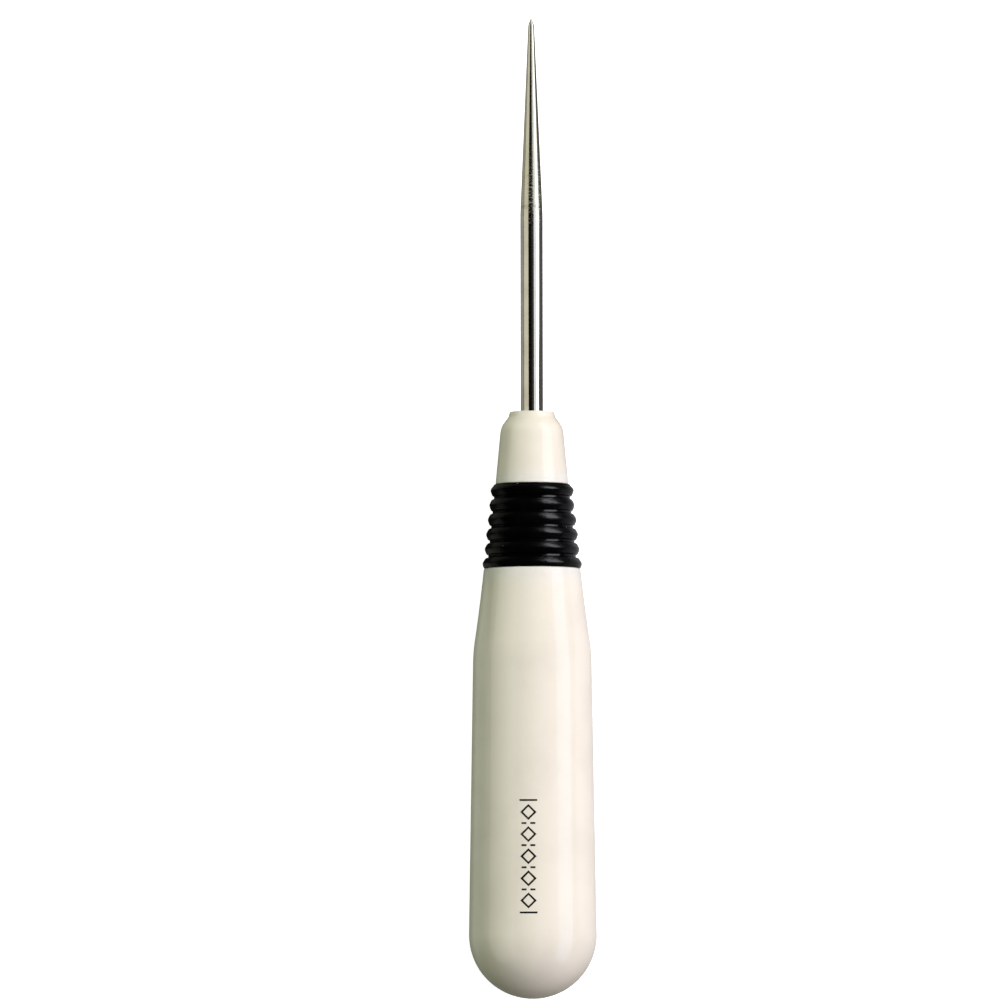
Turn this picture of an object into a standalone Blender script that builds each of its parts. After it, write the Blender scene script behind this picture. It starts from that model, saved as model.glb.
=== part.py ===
"""Bookbinding awl with a fixed tapered needle, a ribbed grip sleeve and a domed plastic handle.

The awl lies on its side. Its axis runs along +Y with the point forward, +Z is up, and the origin is on
the surface that it lies on, below the middle of its length. Every piece is turned about the axis.
A station is a distance along the axis from the rear end of the handle. Outlines are lists of
(along, radius) points, where along is measured from the piece's own origin, also on the axis.
"""

import math

import bmesh
import bpy

MM = 0.001

# Driving dimensions: stations along the axis.
AWL_LENGTH = 134.0 * MM
NOSE_STATION = 80.1 * MM  # flat end of the nose, where the needle comes out
SLEEVE_STATION = 70.3 * MM  # shoulder at the nose's base, the sleeve's front end
HANDLE_STATION = 58.7 * MM  # handle's front face, the sleeve's rear end
SHOULDER_STATION = 47.0 * MM  # where the flare meets the handle's body

# Radii.
BUTT_RADIUS = 8.7 * MM
SHOULDER_RADIUS = 8.08 * MM
HANDLE_FRONT_RADIUS = 6.6 * MM
NOSE_BASE_RADIUS = 4.97 * MM
NOSE_END_RADIUS = 2.85 * MM
NECK_RADIUS = 4.2 * MM
SHANK_RADIUS = 1.5 * MM

# Needle.
POINT_LENGTH = 1.5 * MM  # short ground point at the tip
POINT_RADIUS = 0.41 * MM
TAPER_LENGTH = 27.3 * MM  # point and taper together
TANG_LENGTH = 28.0 * MM
GROOVE_DEPTH = 0.3 * MM
GROOVE_WIDTH = 1.2 * MM
GROOVE_DEPTHS_IN = (8.0 * MM, 14.0 * MM)  # how far each groove's front edge lies inside the nose
FLATS_LENGTH = 7.0 * MM  # two flats at the tang's end
FLATS_HALF_WIDTH = 1.05 * MM
FLATS_RUN_OUT = 0.4 * MM

# Nose, from its flat end back: rounded edge, short collar, chamfer, and the long taper to the base.
NOSE_EDGE_ROUND = 0.25 * MM
COLLAR_LENGTH = 0.7 * MM
COLLAR_RADIUS = 3.15 * MM
CHAMFER_LENGTH = 2.1 * MM  # from the flat end to where chamfer and taper would meet
CHAMFER_RADIUS = 4.24 * MM
CHAMFER_ROUND = 2.8 * MM

# Sleeve.
RIB_COUNT = 6
RIB_PITCH = 2.0 * MM
FIRST_CREST_IN = 1.08 * MM  # from the sleeve's front end to its first crest
FIRST_CREST_RADIUS = 5.65 * MM
LAST_CREST_RADIUS = 6.72 * MM
CREST_SAG = 0.12 * MM  # how far the line of crests sags below a straight one
FIRST_VALLEY_RADIUS = 5.19 * MM
LAST_VALLEY_RADIUS = 5.98 * MM
SLEEVE_FRONT_RADIUS = 5.12 * MM
SLEEVE_REAR_RADIUS = 6.5 * MM  # the last rib falls towards this, and is cut off on its way there
RIB_FULLNESS = 0.6  # below 1 widens the crests and narrows the valleys
RIB_STEPS = 6

# Handle.
SHOULDER_ROUND = 24.0 * MM
RIM_ROUND = 0.3 * MM
BORE_LEAD_IN = 0.3 * MM
DOME_STEPS = 12

# Plug of the nose core and blind bore of the handle.
PLUG_LENGTH = 28.0 * MM
PLUG_END_RADIUS = 3.9 * MM
PLUG_CHAMFER = 0.6 * MM
BORE_REACH = 1.6 * MM  # how far the bore goes on past the plug's end
BORE_END_RADIUS = 1.6 * MM
KEY_COUNT = 4
KEY_HEIGHT = 0.45 * MM
KEY_LENGTH = 18.0 * MM
KEY_SETBACK = 2.5 * MM  # from the handle's front face to the keys' front end
KEY_RAMP = 0.6 * MM
KEY_HALF_ANGLE = math.radians(18)

# Clearances between neighbouring pieces.
SEAM_GAP = 0.05 * MM
FIT_GAP = 0.1 * MM

# Facets round the axis. Half a facet of offset puts a flat one underneath, and FACET_GROWTH lets the
# middles of the facets lie on the true round surface instead of their edges.
SIDES = 28
FACET_GROWTH = 1 / math.cos(math.pi / SIDES)
EDGE_STEPS = 3  # straight steps along a small rounded edge
SHARP_ANGLE = math.radians(35)
MERGE_DISTANCE = 1e-7

IVORY = (0.78, 0.73, 0.61, 1.0)
BLACK = (0.012, 0.012, 0.013, 1.0)
STEEL = (0.62, 0.60, 0.56, 1.0)


def arc(centre, radius, start_deg, end_deg, steps):
    """Points on an arc in the (along, radius) plane; 0 degrees points along the axis, 90 away from it."""
    points = []
    for step in range(steps + 1):
        angle = math.radians(start_deg + (end_deg - start_deg) * step / steps)
        points.append((centre[0] + radius * math.cos(angle), centre[1] + radius * math.sin(angle)))
    return points


def rounded_corner(before, corner, after, radius, steps):
    """The points that round the corner between two straight stretches of an outline."""
    into = math.atan2(before[1] - corner[1], before[0] - corner[0])
    out = math.atan2(after[1] - corner[1], after[0] - corner[0])
    opening = (out - into + math.pi) % (2 * math.pi) - math.pi
    middle = into + opening / 2
    reach = radius / math.sin(abs(opening) / 2)
    centre = (corner[0] + reach * math.cos(middle), corner[1] + reach * math.sin(middle))
    start = math.degrees(into - math.copysign(math.pi / 2, opening))
    sweep = math.degrees(opening) - math.copysign(180.0, opening)
    return arc(centre, radius, start, start + sweep, steps)


def turn(outline, closed=False):
    """The solid of revolution of an outline whose ends lie on the axis, or of a closed outline."""
    mesh = bmesh.new()
    start = math.pi / SIDES
    verts = []
    for along, radius in outline:
        verts.append(mesh.verts.new((radius * math.cos(start), along, radius * math.sin(start))))
    edges = [mesh.edges.new(pair) for pair in zip(verts, verts[1:])]
    if closed:
        edges.append(mesh.edges.new((verts[-1], verts[0])))
    bmesh.ops.spin(
        mesh,
        geom=verts + edges,
        cent=(0.0, 0.0, 0.0),
        axis=(0.0, 1.0, 0.0),
        angle=2 * math.pi,
        steps=SIDES,
        use_merge=True,
    )
    bmesh.ops.remove_doubles(mesh, verts=mesh.verts, dist=MERGE_DISTANCE)
    return mesh


def press_flats(mesh, gap):
    """Give the tang's end, or the socket round it with a gap, its two parallel flats."""
    rear = -TANG_LENGTH - gap
    front = -TANG_LENGTH + FLATS_LENGTH - FLATS_RUN_OUT
    half_width = FLATS_HALF_WIDTH + gap
    for vert in mesh.verts:
        on_tang = math.hypot(vert.co.x, vert.co.z) < SHANK_RADIUS + 2 * gap + MERGE_DISTANCE
        if on_tang and rear - MERGE_DISTANCE < vert.co.y < front + MERGE_DISTANCE:
            vert.co.z = max(-half_width, min(half_width, vert.co.z))


def plug_radius(along):
    """Radius of the plug at a place behind the handle's front face, with its slight draft."""
    return NECK_RADIUS + (NECK_RADIUS - PLUG_END_RADIUS) * along / PLUG_LENGTH


def key_stations(front_face, gap):
    """The four places where the keys start, reach full height, leave it and end, front to rear."""
    front = front_face - KEY_SETBACK + gap
    rear = front_face - KEY_SETBACK - KEY_LENGTH - gap
    return [front, front - KEY_RAMP, rear + KEY_RAMP, rear]


def raise_keys(mesh, stations, radii):
    """Push the surface between two radii out along evenly spaced keys, between their ramps."""
    spacing = 2 * math.pi / KEY_COUNT
    for vert in mesh.verts:
        radius = math.hypot(vert.co.x, vert.co.z)
        off_key = (math.atan2(vert.co.z, vert.co.x) + spacing / 2) % spacing - spacing / 2
        on_band = stations[2] - MERGE_DISTANCE < vert.co.y < stations[1] + MERGE_DISTANCE
        if on_band and radii[0] <= radius <= radii[1] and abs(off_key) < KEY_HALF_ANGLE:
            vert.co.x *= 1 + KEY_HEIGHT / radius
            vert.co.z *= 1 + KEY_HEIGHT / radius


def material(name, colour, roughness, metallic):
    made = bpy.data.materials.new(name)
    made.use_nodes = True
    shader = made.node_tree.nodes["Principled BSDF"]
    shader.inputs["Base Color"].default_value = colour
    shader.inputs["Roughness"].default_value = roughness
    shader.inputs["Metallic"].default_value = metallic
    made.diffuse_color = colour
    return made


def place(name, mesh, finish, station, axis_empty):
    """Turn a finished bmesh into a named object on the awl's axis, at its station."""
    bmesh.ops.scale(mesh, vec=(FACET_GROWTH, 1.0, FACET_GROWTH), verts=mesh.verts)
    bmesh.ops.recalc_face_normals(mesh, faces=mesh.faces)
    data = bpy.data.meshes.new(name)
    mesh.to_mesh(data)
    mesh.free()
    data.materials.append(finish)
    data.shade_smooth()
    data.set_sharp_from_angle(angle=SHARP_ANGLE)
    piece = bpy.data.objects.new(name, data)
    bpy.context.collection.objects.link(piece)
    piece.parent = axis_empty
    piece.location = (0.0, station, 0.0)
    return piece


def tang_outline(gap):
    """The tang from the nose's flat end back to its end on the axis, grown by a clearance."""
    radius = SHANK_RADIUS + gap
    root = radius - GROOVE_DEPTH
    slope = GROOVE_DEPTH
    points = [(0.0, radius)]
    for depth_in in GROOVE_DEPTHS_IN:
        front = -depth_in - gap
        rear = -depth_in - GROOVE_WIDTH + gap
        points += [(front, radius), (front - slope, root), (rear + slope, root), (rear, radius)]
    flats_front = -TANG_LENGTH + FLATS_LENGTH
    points += [(flats_front, radius), (flats_front - FLATS_RUN_OUT, radius)]
    points += [(-TANG_LENGTH - gap, radius), (-TANG_LENGTH - gap, 0.0)]
    return points


def needle(steel, axis_empty):
    """Ground point, long taper and straight shank in front of the nose, and the tang inside it."""
    point_end = AWL_LENGTH - NOSE_STATION
    outline = [
        (point_end, 0.0),
        (point_end - POINT_LENGTH, POINT_RADIUS),
        (point_end - TAPER_LENGTH, SHANK_RADIUS),
    ]
    mesh = turn(outline + tang_outline(0.0))
    press_flats(mesh, 0.0)
    return place("needle", mesh, steel, NOSE_STATION, axis_empty)


def nose_outline():
    """The nose from its flat end back to its base: edge, short collar, chamfer and long taper."""
    edge = (0.0, NOSE_END_RADIUS)
    collar = (-COLLAR_LENGTH, COLLAR_RADIUS)
    chamfer = (-CHAMFER_LENGTH, CHAMFER_RADIUS)
    base = (SLEEVE_STATION - NOSE_STATION, NOSE_BASE_RADIUS)
    points = rounded_corner((0.0, SHANK_RADIUS), edge, collar, NOSE_EDGE_ROUND, EDGE_STEPS)
    points.append(collar)
    points += rounded_corner(collar, chamfer, base, CHAMFER_ROUND, EDGE_STEPS + 1)
    return points + [base]


def nose_core(ivory, axis_empty):
    """Nose, neck under the sleeve and keyed plug in the handle, moulded round the needle's tang."""
    to_sleeve = SLEEVE_STATION - NOSE_STATION
    to_handle = HANDLE_STATION - NOSE_STATION
    plug_end = to_handle - PLUG_LENGTH
    keys = key_stations(to_handle, 0.0)
    outline = list(reversed(tang_outline(SEAM_GAP)))
    outline += nose_outline()
    outline += [(to_sleeve, NECK_RADIUS), (to_handle, NECK_RADIUS)]
    for along in keys:
        outline.append((along, plug_radius(along - to_handle)))
    outline += [
        (plug_end + PLUG_CHAMFER, PLUG_END_RADIUS),
        (plug_end, PLUG_END_RADIUS - PLUG_CHAMFER),
        (plug_end, 0.0),
    ]
    mesh = turn(outline)
    press_flats(mesh, SEAM_GAP)
    raise_keys(mesh, keys, (PLUG_END_RADIUS, NECK_RADIUS))
    return place("nose_core", mesh, ivory, NOSE_STATION, axis_empty)


def crest_radius(rib):
    """Radius of a rib's crest, the ribs counted from 0 at the nose, on a slightly sagging line."""
    share = rib / (RIB_COUNT - 1)
    straight = FIRST_CREST_RADIUS + (LAST_CREST_RADIUS - FIRST_CREST_RADIUS) * share
    return straight - 4 * CREST_SAG * share * (1 - share)


def low_radius(valley):
    """Radius in front of a rib: the sleeve's front end, the valleys, and last the sleeve's rear end."""
    if valley == 0:
        return SLEEVE_FRONT_RADIUS
    if valley == RIB_COUNT:
        return SLEEVE_REAR_RADIUS
    share = (valley - 1) / (RIB_COUNT - 2)
    return FIRST_VALLEY_RADIUS + (LAST_VALLEY_RADIUS - FIRST_VALLEY_RADIUS) * share


def ribbed_radius(position):
    """Radius of the sleeve at a position counted in pitches, with the first crest at 0."""
    rib = min(max(round(position), 0), RIB_COUNT - 1)
    low = low_radius(rib + 1 if position > rib else rib)
    offset = min(abs(position - rib), 0.5)
    share = (0.5 + 0.5 * math.cos(2 * math.pi * offset)) ** RIB_FULLNESS
    return low + (crest_radius(rib) - low) * share


def grip_sleeve(black, axis_empty):
    """Elastomer sleeve: a bore that hugs the neck, and rounded ribs that grow towards the handle."""
    front = -SEAM_GAP
    rear = HANDLE_STATION - SLEEVE_STATION + SEAM_GAP
    bore = NECK_RADIUS + FIT_GAP
    outline = [(front, bore), (front, SLEEVE_FRONT_RADIUS)]
    for step in range(RIB_COUNT * RIB_STEPS - 1):
        position = step / RIB_STEPS - 0.5
        outline.append((-FIRST_CREST_IN - position * RIB_PITCH, ribbed_radius(position)))
    rear_position = (-rear - FIRST_CREST_IN) / RIB_PITCH
    outline += [(rear, ribbed_radius(rear_position)), (rear, bore)]
    mesh = turn(outline, closed=True)
    return place("grip_sleeve", mesh, black, SLEEVE_STATION, axis_empty)


def handle_outline():
    """The outside of the handle from the pole of its domed end to its front face."""
    draft = math.degrees(math.atan2(BUTT_RADIUS - SHOULDER_RADIUS, SHOULDER_STATION - BUTT_RADIUS))
    shoulder = (SHOULDER_STATION, SHOULDER_RADIUS)
    front = (HANDLE_STATION, HANDLE_FRONT_RADIUS)
    dome = arc((BUTT_RADIUS, 0.0), BUTT_RADIUS, 180.0, 90.0 - draft, DOME_STEPS)
    dome[0] = (0.0, 0.0)
    shoulder_arc = rounded_corner(dome[-1], shoulder, front, SHOULDER_ROUND, EDGE_STEPS)
    rim_arc = rounded_corner(shoulder, front, (HANDLE_STATION, NECK_RADIUS), RIM_ROUND, EDGE_STEPS)
    return dome + shoulder_arc + rim_arc


def handle_shell(ivory, axis_empty):
    """Thick shell with a domed closed end, and a blind bore with keyways for the nose core's plug."""
    plug_end = HANDLE_STATION - PLUG_LENGTH
    bore = NECK_RADIUS + FIT_GAP
    keys = key_stations(HANDLE_STATION, FIT_GAP)
    outline = handle_outline()
    outline += [(HANDLE_STATION, bore + BORE_LEAD_IN), (HANDLE_STATION - BORE_LEAD_IN, bore)]
    for along in keys:
        outline.append((along, plug_radius(along - HANDLE_STATION) + FIT_GAP))
    outline += [
        (plug_end, PLUG_END_RADIUS + FIT_GAP),
        (plug_end - BORE_REACH, BORE_END_RADIUS),
        (plug_end - BORE_REACH, 0.0),
    ]
    mesh = turn(outline)
    raise_keys(mesh, keys, (PLUG_END_RADIUS, bore))
    return place("handle_shell", mesh, ivory, 0.0, axis_empty)


def remove_all_objects():
    for thing in list(bpy.data.objects):
        bpy.data.objects.remove(thing, do_unlink=True)


def build():
    remove_all_objects()
    axis_empty = bpy.data.objects.new("awl_axis", None)
    axis_empty.location = (0.0, -AWL_LENGTH / 2, BUTT_RADIUS)
    bpy.context.collection.objects.link(axis_empty)

    ivory = material("ivory_plastic", IVORY, roughness=0.22, metallic=0.0)
    black = material("black_elastomer", BLACK, roughness=0.42, metallic=0.0)
    steel = material("polished_steel", STEEL, roughness=0.2, metallic=1.0)

    handle_shell(ivory, axis_empty)
    nose_core(ivory, axis_empty)
    grip_sleeve(black, axis_empty)
    needle(steel, axis_empty)


build()
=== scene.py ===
"""Looks for the bookbinding awl: fine turned pieces, procedural materials, studio light and camera.

The awl lies along +Y with its point forward, +Z is up, and the floor is at z = 0. Every piece is turned
about one axis. A station is a distance in front of the rear end of the handle, in metres. An outline is a
list of (station, radius) points that goes round one half of a piece's section.
"""

import math

import bmesh
import bpy
from mathutils import Matrix, Vector


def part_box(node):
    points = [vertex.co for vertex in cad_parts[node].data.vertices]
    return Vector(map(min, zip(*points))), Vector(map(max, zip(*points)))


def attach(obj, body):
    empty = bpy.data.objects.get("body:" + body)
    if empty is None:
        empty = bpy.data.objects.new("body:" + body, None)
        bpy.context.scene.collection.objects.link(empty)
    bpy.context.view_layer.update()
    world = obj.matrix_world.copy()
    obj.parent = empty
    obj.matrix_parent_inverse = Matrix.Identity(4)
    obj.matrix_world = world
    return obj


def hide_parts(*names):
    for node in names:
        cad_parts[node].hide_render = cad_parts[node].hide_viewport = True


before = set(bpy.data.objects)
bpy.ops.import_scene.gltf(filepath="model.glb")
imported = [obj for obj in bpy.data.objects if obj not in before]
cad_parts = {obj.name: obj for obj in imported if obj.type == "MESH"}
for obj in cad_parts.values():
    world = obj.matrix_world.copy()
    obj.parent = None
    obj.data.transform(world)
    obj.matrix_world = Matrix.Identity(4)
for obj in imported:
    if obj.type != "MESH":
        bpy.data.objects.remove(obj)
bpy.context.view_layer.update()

MM = 0.001

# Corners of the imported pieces.
HANDLE_LOW, HANDLE_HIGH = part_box("handle_shell")
SLEEVE_LOW, SLEEVE_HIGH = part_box("grip_sleeve")
CORE_LOW, CORE_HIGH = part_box("nose_core")
NEEDLE_LOW, NEEDLE_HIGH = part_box("needle")

# Gaps between the pieces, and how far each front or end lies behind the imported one.
SEAM_GAP = 0.05 * MM
FIT_GAP = 0.1 * MM
SLEEVE_SETBACK = 0.22 * MM
DOME_SETBACK = 0.04 * MM
NOSE_SETBACK = 0.13 * MM
HANDLE_SETBACK = 0.12 * MM

# The axis, and stations on it.
REAR = HANDLE_LOW.y
AXIS_Z = (HANDLE_LOW.z + HANDLE_HIGH.z) / 2
HANDLE_FRONT = HANDLE_HIGH.y - REAR - HANDLE_SETBACK
SLEEVE_FRONT = SLEEVE_HIGH.y - REAR + SEAM_GAP - SLEEVE_SETBACK
NOSE_FRONT = CORE_HIGH.y - REAR - NOSE_SETBACK
TIP = NEEDLE_HIGH.y - REAR
TANG_END = NEEDLE_LOW.y - REAR
PLUG_END = CORE_LOW.y - REAR

# Radii.
BUTT_RADIUS = 8.69 * MM
SHOULDER_RADIUS = 8.07 * MM
HANDLE_FRONT_RADIUS = 6.58 * MM
NOSE_BASE_RADIUS = 4.96 * MM
NOSE_END_RADIUS = 3.02 * MM
NECK_RADIUS = 4.2 * MM
PLUG_END_RADIUS = 3.9 * MM
PLUG_CHAMFER = 0.6 * MM
SHANK_RADIUS = 1.53 * MM

# Needle.
POINT_LENGTH = 0.9 * MM
POINT_RADIUS = 0.41 * MM
POINT_ROUND = 1.6 * MM
TIP_RADIUS = 0.08 * MM
TAPER_LENGTH = 27.0 * MM
TAPER_ROUND = 40.0 * MM

# Where the taper's straight side ends, ahead of the shank, to leave room for the rounding between them.
TAPER_RUN_OUT = 3.0 * MM
TAPER_RUN_OUT_DROP = 0.12 * MM

# The two grooves that hold the tang in the nose.
GROOVE_DEPTH = 0.3 * MM
GROOVE_WIDTH = 1.2 * MM
GROOVE_DEPTHS_IN = (8.0 * MM, 14.0 * MM)

# Nose.
NOSE_EDGE_ROUND = 0.18 * MM
COLLAR_LENGTH = 0.7 * MM
COLLAR_RADIUS = 3.2 * MM
COLLAR_ROUND = 0.5 * MM
CHAMFER_LENGTH = 2.1 * MM
CHAMFER_RADIUS = 4.24 * MM
CHAMFER_ROUND = 2.8 * MM
NOSE_RUN_OUT = 0.4 * MM
NOSE_RUN_OUT_DROP = 0.02 * MM
SEAM_EDGE_ROUND = 0.12 * MM

# Sleeve.
RIB_COUNT = 6
RIB_PITCH = 2.0 * MM
FIRST_CREST_IN = 1.08 * MM - SLEEVE_SETBACK
FIRST_CREST_RADIUS = 5.67 * MM
LAST_CREST_RADIUS = 6.77 * MM
CREST_SAG = 0.09 * MM
FIRST_VALLEY_RADIUS = 5.19 * MM
LAST_VALLEY_RADIUS = 5.98 * MM
SLEEVE_FRONT_RADIUS = 5.12 * MM
SLEEVE_REAR_RADIUS = 6.5 * MM
RIB_STEPS = 48

# A rib's section: the size of its blunt tip in pitches, its straight and its curved fall as shares of its
# height, and the places, in pitches from the crest, between which it drops to the valley.
CREST_TIP = 0.05
FLANK_DROP = 1.0
CROWN_DROP = 1.6
WALL_START = 0.355
WALL_END = 0.445

# How far the crests wander in and out, and the waves they do it in, each with its count round the sleeve,
# its turn from one rib to the next in radians, and its strength.
RIB_WANDER = 0.07 * MM
RIB_WAVES = ((2, 1.9, 1.0), (5, 2.7, 0.6))

# Handle.
SHOULDER_STATION = 47.0 * MM
SHOULDER_ROUND = 24.0 * MM
FLARE_SAG = 0.05 * MM
RIM_ROUND = 0.3 * MM
BORE_CHAMFER = 0.3 * MM
BORE_REACH = 1.6 * MM
BORE_END_RADIUS = 1.6 * MM

SMOOTH_ANGLE = math.radians(35)
MERGE_DISTANCE = 1e-8


# ---------------------------------------------------------------- outlines and turning


def arc(centre, radius, start_deg, end_deg, steps):
    """Points on an arc in the (station, radius) plane; 0 degrees points forward, 90 away from the axis."""
    points = []
    for step in range(steps + 1):
        angle = math.radians(start_deg + (end_deg - start_deg) * step / steps)
        points.append((centre[0] + radius * math.cos(angle), centre[1] + radius * math.sin(angle)))
    return points


def rounded_corner(before, corner, after, radius, steps):
    """The points that round the corner between two straight stretches of an outline."""
    into = math.atan2(before[1] - corner[1], before[0] - corner[0])
    out = math.atan2(after[1] - corner[1], after[0] - corner[0])
    opening = (out - into + math.pi) % (2 * math.pi) - math.pi
    middle = into + opening / 2
    reach = radius / math.sin(abs(opening) / 2)
    centre = (corner[0] + reach * math.cos(middle), corner[1] + reach * math.sin(middle))
    start = math.degrees(into - math.copysign(math.pi / 2, opening))
    sweep = math.degrees(opening) - math.copysign(180.0, opening)
    return arc(centre, radius, start, start + sweep, steps)


def straight(start, end, steps):
    """Points along a straight stretch, without its start."""
    points = []
    for step in range(1, steps + 1):
        share = step / steps
        points.append((start[0] + (end[0] - start[0]) * share, start[1] + (end[1] - start[1]) * share))
    return points


def on_surface(station, radius, angle):
    """A point at an angle round the axis, measured from straight up towards +X."""
    return Vector((radius * math.sin(angle), REAR + station, AXIS_Z + radius * math.cos(angle)))


def turned(name, outline, sides, closed=False, marks=None):
    """A fine solid of revolution. marks gives each outline point a value from 0 to 1 for its material."""
    mesh = bmesh.new()
    layer = mesh.verts.layers.float.new("wear")
    rings = []
    for index, (station, radius) in enumerate(outline):
        value = marks[index] if marks else 0.0
        if radius <= MERGE_DISTANCE:
            ring = [mesh.verts.new(on_surface(station, 0.0, 0.0))]
        else:
            ring = []
            for side in range(sides):
                ring.append(mesh.verts.new(on_surface(station, radius, 2 * math.pi * side / sides)))
        for vert in ring:
            vert[layer] = value
        rings.append(ring)
    pairs = list(zip(rings, rings[1:]))
    if closed:
        pairs.append((rings[-1], rings[0]))
    for first, second in pairs:
        for side in range(sides):
            after = (side + 1) % sides
            if len(first) == 1:
                mesh.faces.new((first[0], second[side], second[after]))
            elif len(second) == 1:
                mesh.faces.new((first[side], second[0], first[after]))
            else:
                mesh.faces.new((first[side], second[side], second[after], first[after]))
    return finished(name, mesh)


def finished(name, mesh):
    """An object in the scene from a bmesh, with outward faces and smooth shading off its sharp edges."""
    bmesh.ops.recalc_face_normals(mesh, faces=mesh.faces)
    data = bpy.data.meshes.new(name)
    mesh.to_mesh(data)
    mesh.free()
    data.shade_smooth()
    data.set_sharp_from_angle(angle=SMOOTH_ANGLE)
    piece = bpy.data.objects.new(name, data)
    bpy.context.scene.collection.objects.link(piece)
    return piece


def tang_outline(gap):
    """The tang, or its socket with a gap, from the nose's flat end back to the axis."""
    radius = SHANK_RADIUS + gap
    root = radius - GROOVE_DEPTH
    points = [(NOSE_FRONT, radius)]
    for depth_in in GROOVE_DEPTHS_IN:
        front = NOSE_FRONT - depth_in - gap
        rear = NOSE_FRONT - depth_in - GROOVE_WIDTH + gap
        points += [(front, radius), (front - GROOVE_DEPTH, root)]
        points += [(rear + GROOVE_DEPTH, root), (rear, radius)]
    return points + [(TANG_END - gap, radius), (TANG_END - gap, 0.0)]


def needle_outline():
    """Rounded tip, short ground point, long taper and straight shank, then the tang in the nose."""
    point_end = (TIP - POINT_LENGTH, POINT_RADIUS)
    taper_end = (TIP - TAPER_LENGTH, SHANK_RADIUS)
    shank_end = (NOSE_FRONT, SHANK_RADIUS)
    slope = math.degrees(math.atan2(POINT_RADIUS, POINT_LENGTH))
    run_out = (taper_end[0] + TAPER_RUN_OUT, taper_end[1] - TAPER_RUN_OUT_DROP)
    points = arc((TIP - TIP_RADIUS, 0.0), TIP_RADIUS, 0.0, 90.0 - slope, steps=6)
    points[0] = (TIP, 0.0)
    tip_edge = points[-1]
    points += rounded_corner(tip_edge, point_end, taper_end, POINT_ROUND, steps=8)
    points += straight(points[-1], run_out, steps=10)
    points += rounded_corner(points[-1], taper_end, shank_end, TAPER_ROUND, steps=8)
    points += straight(points[-1], shank_end, steps=6)
    return points[:-1] + tang_outline(0.0)


def nose_outline():
    """The nose from its flat end back to its base."""
    edge = (NOSE_FRONT, NOSE_END_RADIUS)
    collar = (NOSE_FRONT - COLLAR_LENGTH, COLLAR_RADIUS)
    chamfer = (NOSE_FRONT - CHAMFER_LENGTH, CHAMFER_RADIUS)
    base = (SLEEVE_FRONT, NOSE_BASE_RADIUS)
    run_out = (base[0] + NOSE_RUN_OUT, base[1] - NOSE_RUN_OUT_DROP)
    neck = (SLEEVE_FRONT, NECK_RADIUS)
    points = rounded_corner((NOSE_FRONT, SHANK_RADIUS), edge, collar, NOSE_EDGE_ROUND, steps=8)
    points += rounded_corner(edge, collar, chamfer, COLLAR_ROUND, steps=6)
    points += rounded_corner(collar, chamfer, base, CHAMFER_ROUND, steps=14)
    points += straight(points[-1], run_out, steps=8)
    points += rounded_corner(points[-1], base, neck, SEAM_EDGE_ROUND, steps=5)
    return points


def core_outline():
    """The whole nose core: socket for the tang, nose, neck under the sleeve, and plug in the handle."""
    points = list(reversed(tang_outline(SEAM_GAP))) + nose_outline()
    points += [(SLEEVE_FRONT, NECK_RADIUS), (HANDLE_FRONT, NECK_RADIUS)]
    points += [(PLUG_END + PLUG_CHAMFER, PLUG_END_RADIUS), (PLUG_END, PLUG_END_RADIUS - PLUG_CHAMFER)]
    return points + [(PLUG_END, 0.0)]


def crest_radius(rib):
    """Radius of a rib's crest, the ribs counted from 0 at the nose, on a slightly sagging line."""
    share = rib / (RIB_COUNT - 1)
    level = FIRST_CREST_RADIUS + (LAST_CREST_RADIUS - FIRST_CREST_RADIUS) * share
    return level - 4 * CREST_SAG * share * (1 - share)


def low_radius(valley):
    """Radius in front of a rib: the sleeve's front end, the valleys, and last the sleeve's rear end."""
    if valley == 0:
        return SLEEVE_FRONT_RADIUS
    if valley == RIB_COUNT:
        return SLEEVE_REAR_RADIUS
    share = (valley - 1) / (RIB_COUNT - 2)
    return FIRST_VALLEY_RADIUS + (LAST_VALLEY_RADIUS - FIRST_VALLEY_RADIUS) * share


def ribbed(position):
    """Radius of the sleeve, and how near to a crest it is, at a position counted in pitches.

    Each rib is a blunt ridge that ends in a short steep wall, with a narrow flat floor between two ribs.
    """
    rib = min(max(round(position), 0), RIB_COUNT - 1)
    valley = rib + 1 if position > rib else rib
    offset = min(abs(position - rib), 0.5)
    if valley in (0, RIB_COUNT):
        share = 0.5 + 0.5 * math.cos(2 * math.pi * offset)
    else:
        along_wall = min(max((offset - WALL_START) / (WALL_END - WALL_START), 0.0), 1.0)
        drop = FLANK_DROP * (math.hypot(offset, CREST_TIP) - CREST_TIP) + CROWN_DROP * offset**2
        share = (1 - drop) * (0.5 + 0.5 * math.cos(math.pi * along_wall))
    low = low_radius(valley)
    return low + (crest_radius(rib) - low) * share, share


def sleeve_outline():
    """The sleeve's bore and ribs, with each point's share of the way from valley to crest."""
    front = SLEEVE_FRONT - SEAM_GAP
    rear = HANDLE_FRONT + SEAM_GAP
    bore = NECK_RADIUS + FIT_GAP
    first = -0.5
    last = (SLEEVE_FRONT - FIRST_CREST_IN - rear) / RIB_PITCH
    steps = RIB_COUNT * RIB_STEPS
    points = [(front, bore)]
    marks = [0.0]
    for step in range(steps + 1):
        position = first + (last - first) * step / steps
        radius, share = ribbed(position)
        station = min(front, SLEEVE_FRONT - FIRST_CREST_IN - position * RIB_PITCH)
        points.append((station, radius))
        marks.append(share)
    return points + [(rear, bore)], marks + [0.0]


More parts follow.
